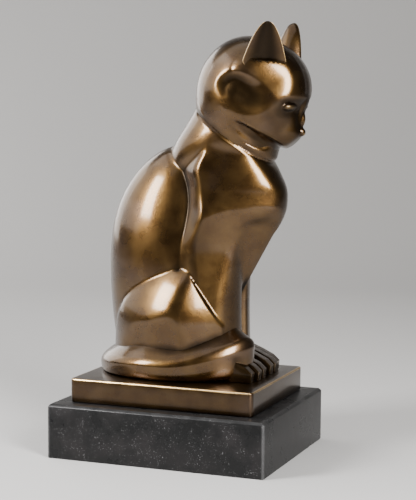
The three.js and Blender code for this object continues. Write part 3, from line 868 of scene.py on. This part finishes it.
class Finish:
    """A material with a Principled shader, and the ways to fill it."""

    def __init__(self, name):
        self.material = bpy.data.materials.new(name)
        self.material.use_nodes = True
        self.tree = self.material.node_tree
        self.shader = next(n for n in self.tree.nodes if n.type == "BSDF_PRINCIPLED")
        self.places = self.node("ShaderNodeTexCoord", {}, {}).outputs["Object"]

    def node(self, kind, settings, inputs):
        """A node of any kind: its settings first, then values or links for its sockets."""
        made = self.tree.nodes.new(kind)
        for key, value in settings.items():
            setattr(made, key, value)
        for key, value in inputs.items():
            self.fill(made.inputs[key], value)
        return made

    def fill(self, socket, value):
        """A link from a level or socket, or a plain value on the socket itself."""
        value = value.socket if isinstance(value, Level) else value
        if isinstance(value, bpy.types.NodeSocket):
            self.tree.links.new(value, socket)
        else:
            socket.default_value = value

    def between(self, level, low, high):
        """0 where the level is at low, 1 at high, with a smooth start and end."""
        node = self.node("ShaderNodeMapRange", {"interpolation_type": "SMOOTHSTEP"},
                         {"Value": level, "From Min": low, "From Max": high})
        return Level(self, node.outputs["Result"])

    def cloud(self, scale, detail=3.0, rough=0.5):
        """Soft noise about 0.5, with patches of about 1 / scale metres."""
        node = self.node("ShaderNodeTexNoise", {}, {"Vector": self.places, "Scale": scale,
                                                   "Detail": detail, "Roughness": rough})
        return Level(self, node.outputs["Fac"])

    def kept(self, name):
        """A number that was kept on the mesh."""
        node = self.node("ShaderNodeAttribute", {"attribute_name": name}, {})
        return Level(self, node.outputs["Fac"])

    def part(self, axis):
        """One coordinate of the place in the object's frame."""
        node = self.node("ShaderNodeSeparateXYZ", {}, {"Vector": self.places})
        return Level(self, node.outputs[axis])

    def mixed(self, level, first, second):
        """The first colour where the level is 0, the second where it is 1."""
        node = self.node("ShaderNodeMix", {"data_type": "RGBA"}, {"Factor": level})
        for socket, colour in zip([s for s in node.inputs if s.type == "RGBA"], (first, second)):
            self.fill(socket, (*colour, 1) if isinstance(colour, tuple) else colour)
        return next(s for s in node.outputs if s.type == "RGBA")

    def relief(self, height, distance, strength=1.0):
        """The normal of a fine relief of this height."""
        node = self.node("ShaderNodeBump", {}, {"Height": height, "Distance": distance,
                                                "Strength": strength})
        return node.outputs["Normal"]

    def shade(self, **values):
        """Values or links for the shader's sockets, named with underscores."""
        for key, value in values.items():
            self.fill(self.shader.inputs[key.replace("_", " ")], value)
        return self.material

# %% [markdown]
# ## The bronze
# Chemically patinated bronze is a brown skin over gold-coloured metal, sealed with wax. So the
# metal is dark umber with a warmer, lighter tone in clouds, the ridges are rubbed towards gold, and
# the creases and recesses are nearly black, dark patina with painted shade laid over it. The wax is
# a clear coat, which gives the white highlights, and it is thin and dull in the recesses and
# wherever shade is painted.

# %% Bronze finish
NIGHT = (0.007, 0.005, 0.003)
UMBER = (0.054, 0.026, 0.007)
OLIVE = (0.092, 0.051, 0.016)
PLUM = (0.10, 0.066, 0.050)
GOLD = (0.80, 0.54, 0.25)


def bronze(name, rub, dark):
    """Umber with clouds of olive and plum, then dark creases and painted shade, then rubbed gold, by
    two levels.
    """
    finish = Finish(name)
    cloud = finish.between(finish.cloud(scale=70, detail=5, rough=0.5), 0.2, 0.8)
    bloom = finish.between(finish.cloud(scale=24), 0.54, 0.74)
    grain = finish.cloud(scale=900, rough=0.65)
    colour = finish.mixed(cloud, UMBER, OLIVE)
    colour = finish.mixed(bloom * 0.4, colour, PLUM)
    colour = finish.mixed(finish.between(grain, 0.55, 0.75) * 0.25, colour, NIGHT)
    # The dark level is painted shade on the figure and a darkening towards the foot on the plinth;
    # it also thins the coat.
    shade = dark(finish)
    colour = finish.mixed(shade, colour, NIGHT)
    colour = finish.mixed(rub(finish), colour, GOLD)
    rough = 0.25 + 0.06 * cloud + 0.1 * shade
    skin = finish.cloud(scale=420, detail=4, rough=0.6) + 0.35 * finish.cloud(scale=2600, detail=2)
    relief = finish.relief(skin, distance=0.00012, strength=0.5)
    return finish.shade(Base_Color=colour, Metallic=1.0, Roughness=rough, Normal=relief,
                        Coat_Weight=0.5 - 0.45 * shade, Coat_Roughness=0.12)


def ridges(finish):
    """Rubbed where the fine bend is high, broken up by a cloud, and not in a recess."""
    worn = finish.between(finish.kept("bend") + 120 * finish.cloud(scale=160) - 60, 90, 420)
    return worn * (1 - finish.kept("recess")) * 0.75


def creases(finish):
    """Painted shade over dark patina: dark where the fine bend is low, a little where the broad bend
    is, and in a recess.
    """
    deep = finish.between(0 - finish.kept("bend"), 60, 420)
    wide = finish.between(0 - finish.kept("broad_bend"), 0, 50)
    return (deep + 0.75 * wide).most(finish.kept("recess")).least(0.95)


cat.data.materials.append(bronze("waxed bronze", ridges, creases))
print("bronze:", len(cat.data.materials[0].node_tree.nodes), "nodes")

# %% [markdown]
# The plinth is the same metal, but plainer. Its arrises have been knocked and rubbed to gold, so
# the gold follows the distance from the edges of the block, which the object coordinates give.

# %% Plinth finish
PLINTH_WEAR = 0.0016
# The marble's reach is the width of a painted highlight along its bevel and upright arrises.
MARBLE_HIGHLIGHT_REACH = 0.0022


def edge_wear_and_highlight(low, high, reach):
    """1 at the block's top and upright arrises, 0 further from them than reach."""
    def wear(finish):
        half_x, half_y = (high.x - low.x) / 2, (high.y - low.y) / 2
        from_x = half_x - (finish.part("X") ** 2) ** 0.5
        from_y = half_y - (finish.part("Y") ** 2) ** 0.5
        from_top = high.z - finish.part("Z")
        uneven = 0.0012 * finish.cloud(scale=90) - 0.0006
        near_two = (from_x + from_y).least(from_x.least(from_y) + from_top) + uneven
        return (1 - finish.between(near_two, reach * 0.35, reach)) * 0.85
    return wear


def darker_at_foot(low):
    """Dark towards the foot of the wall, with a cloud in its edge."""
    def darker_low(finish):
        rise = finish.part("Z") - low.z + 0.003 * finish.cloud(scale=60)
        return 0.75 - 0.35 * finish.between(rise, 0.001, 0.008)
    return darker_low


plinth_wear = edge_wear_and_highlight(plinth_low, plinth_high, PLINTH_WEAR)
plinth.data.materials.append(bronze("waxed plinth bronze", plinth_wear, darker_at_foot(plinth_low)))
print("plinth bronze:", len(plinth.data.materials[0].node_tree.nodes), "nodes")

# %% [markdown]
# ## The marble
# Black marble is a near-black stone. Here it has faint grey clouds and small pale specks in
# patches. Its old polish has gone a little dull, so it mirrors its surroundings softly, and along
# the bevel and the upright arrises a slightly paler painted highlight is laid on.

# %% Marble finish
JET = (0.006, 0.006, 0.006)
SLATE = (0.011, 0.010, 0.010)
ASH_AND_HIGHLIGHT = (0.30, 0.30, 0.30)


def black_marble(name):
    """Jet with slate clouds, ash specks where a fine noise is high, and a painted highlight along
    the bevel.
    """
    finish = Finish(name)
    cloud = finish.between(finish.cloud(scale=55, detail=5, rough=0.6), 0.35, 0.75)
    speck = finish.between(finish.cloud(scale=1500, detail=2), 0.66, 0.74)
    patch = finish.between(finish.cloud(scale=110), 0.35, 0.6)
    # Painted highlight: edge is 1 along the bevel and the upright arrises and makes them paler.
    edge = edge_wear_and_highlight(marble_low, marble_high, MARBLE_HIGHLIGHT_REACH)(finish)
    colour = finish.mixed(cloud, JET, SLATE)
    colour = finish.mixed(speck * patch * 0.45, colour, ASH_AND_HIGHLIGHT)
    colour = finish.mixed(edge * 0.12, colour, ASH_AND_HIGHLIGHT)
    return finish.shade(Base_Color=colour, Roughness=0.27 + 0.08 * cloud, Specular_IOR_Level=0.14)


marble.data.materials.append(black_marble("polished black marble"))
print("finishes:", [material.name for material in bpy.data.materials if material.users])

# %% [markdown]
# ## Putting the pieces on the body
# Each new piece rides on the part's one body, and the solid it stands for is hidden.

# %% Pieces and their solids
for piece, node, slot in ((cat, "cat", "figure_bronze"), (plinth, "bronze_plinth", "plinth_bronze"),
                          (marble, "marble_base", "black_marble")):
    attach(piece, "root")
    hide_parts(node)
    print(piece.name, "stands for", node)

# %% [markdown]
# ## The camera
# The camera stands at the cat's right front, a little above the middle of the figure, with a long
# lens. Its place came from the corners of the two blocks in the photograph.

# %% Camera
def turned(forward, place, roll=0.0):
    """The matrix of a camera or lamp that looks along forward from place."""
    right = np.cross(forward, (0, 0, 1))
    right = right / np.linalg.norm(right)
    up = np.cross(right, forward)
    c, s = math.cos(roll), math.sin(roll)
    matrix = np.eye(4)
    matrix[:3] = np.column_stack([right * c + up * s, up * c - right * s, -forward, place])
    return Matrix(matrix.tolist())


CAMERA_PLACE = np.array([-1.0103, -0.4061, 0.2636])
CAMERA_YAW, CAMERA_PITCH, CAMERA_ROLL = (math.radians(v) for v in (68.82, -6.09, 0.37))
view = np.array([math.cos(CAMERA_PITCH) * math.sin(CAMERA_YAW),
                 math.cos(CAMERA_PITCH) * math.cos(CAMERA_YAW), math.sin(CAMERA_PITCH)])
LENS, SENSOR = 108.04, 36
lens = bpy.data.cameras.new("camera")
lens.lens, lens.sensor_width = LENS, SENSOR
camera = bpy.data.objects.new("camera", lens)
camera.matrix_world = turned(view, CAMERA_PLACE, CAMERA_ROLL)
bpy.context.collection.objects.link(camera)
bpy.context.scene.camera = camera
print("camera at", CAMERA_PLACE, "looking along", view.round(3))

# %% [markdown]
# ## Light and floor
# Five soft boxes stand round the figure and face it. Two narrow ones, left and right of the
# camera, draw the long highlights down the back and along the brow, the breast and the haunch. A
# wall of light, a doorway and a ceiling are wide and weak and fill the planes between. A weak even
# light fills the rest, and a pale floor turns up behind the figure.

# %% Studio
AIM = np.array([0.007, -0.01, 0.17])
SOFT_BOXES = {"left window": (138, 25, 1.0, 0.28, 0.46, 26),
              "left wall": (108, 30, 1.6, 1.3, 1.5, 16),
              "doorway": (66, 16, 1.6, 1.2, 1.0, 17),
              "right window": (-129, 20, 1.0, 0.32, 0.56, 32),
              "ceiling": (128, 72, 1.3, 1.5, 1.3, 8)}
FILL_COLOUR, FILL_STRENGTH = (0.86, 0.82, 0.76, 1), 0.12
FLOOR_COLOUR = (0.38, 0.37, 0.36, 1)
FLOOR_NEAR, FLOOR_HALF = -2.5, 3


def soft_box(name, azimuth, elevation, distance, width, height, power):
    """An area light at distance along (cos e cos a, cos e sin a, sin e), turned to the figure."""
    a, e = math.radians(azimuth), math.radians(elevation)
    toward = np.array([math.cos(e) * math.cos(a), math.cos(e) * math.sin(a), math.sin(e)])
    lamp = bpy.data.lights.new(name, "AREA")
    lamp.shape = "RECTANGLE"
    lamp.size, lamp.size_y, lamp.energy = width, height, power
    light = bpy.data.objects.new(name, lamp)
    light.matrix_world = turned(-toward, AIM + toward * distance)
    bpy.context.collection.objects.link(light)


for name, numbers in SOFT_BOXES.items():
    soft_box(name, *numbers)

world = bpy.data.worlds.new("studio")
world.use_nodes = True
fill = world.node_tree.nodes["Background"].inputs
fill["Color"].default_value = FILL_COLOUR
fill["Strength"].default_value = FILL_STRENGTH
bpy.context.scene.world = world


def sweep(reach, bend, height, steps=16):
    """A sheet that lies flat for reach behind the figure, turns up on a quarter circle and stands:
    a profile of (distance, height) pairs along the view, carried across it."""
    turn = np.linspace(0, math.pi / 2, steps)
    along = np.concatenate([[FLOOR_NEAR], reach + bend * np.sin(turn), [reach + bend]])
    up = np.concatenate([[0], bend * (1 - np.cos(turn)), [height]])
    ahead = np.array([view[0], view[1], 0]) / math.hypot(view[0], view[1])
    across = np.array([ahead[1], -ahead[0], 0])
    points = (along[:, None, None] * ahead + up[:, None, None] * np.array([0, 0, 1])
              + np.array([-FLOOR_HALF, FLOOR_HALF])[:, None] * across)
    rows = np.arange(len(along) - 1) * 2
    faces = np.stack([rows, rows + 1, rows + 3, rows + 2], -1)
    return mesh_piece("floor", points.reshape(-1, 3), faces.tolist())


floor = sweep(reach=0.9, bend=0.8, height=2.5)
floor.data.shade_smooth()
floor.data.materials.append(Finish("pale floor").shade(Base_Color=FLOOR_COLOUR, Roughness=0.75))
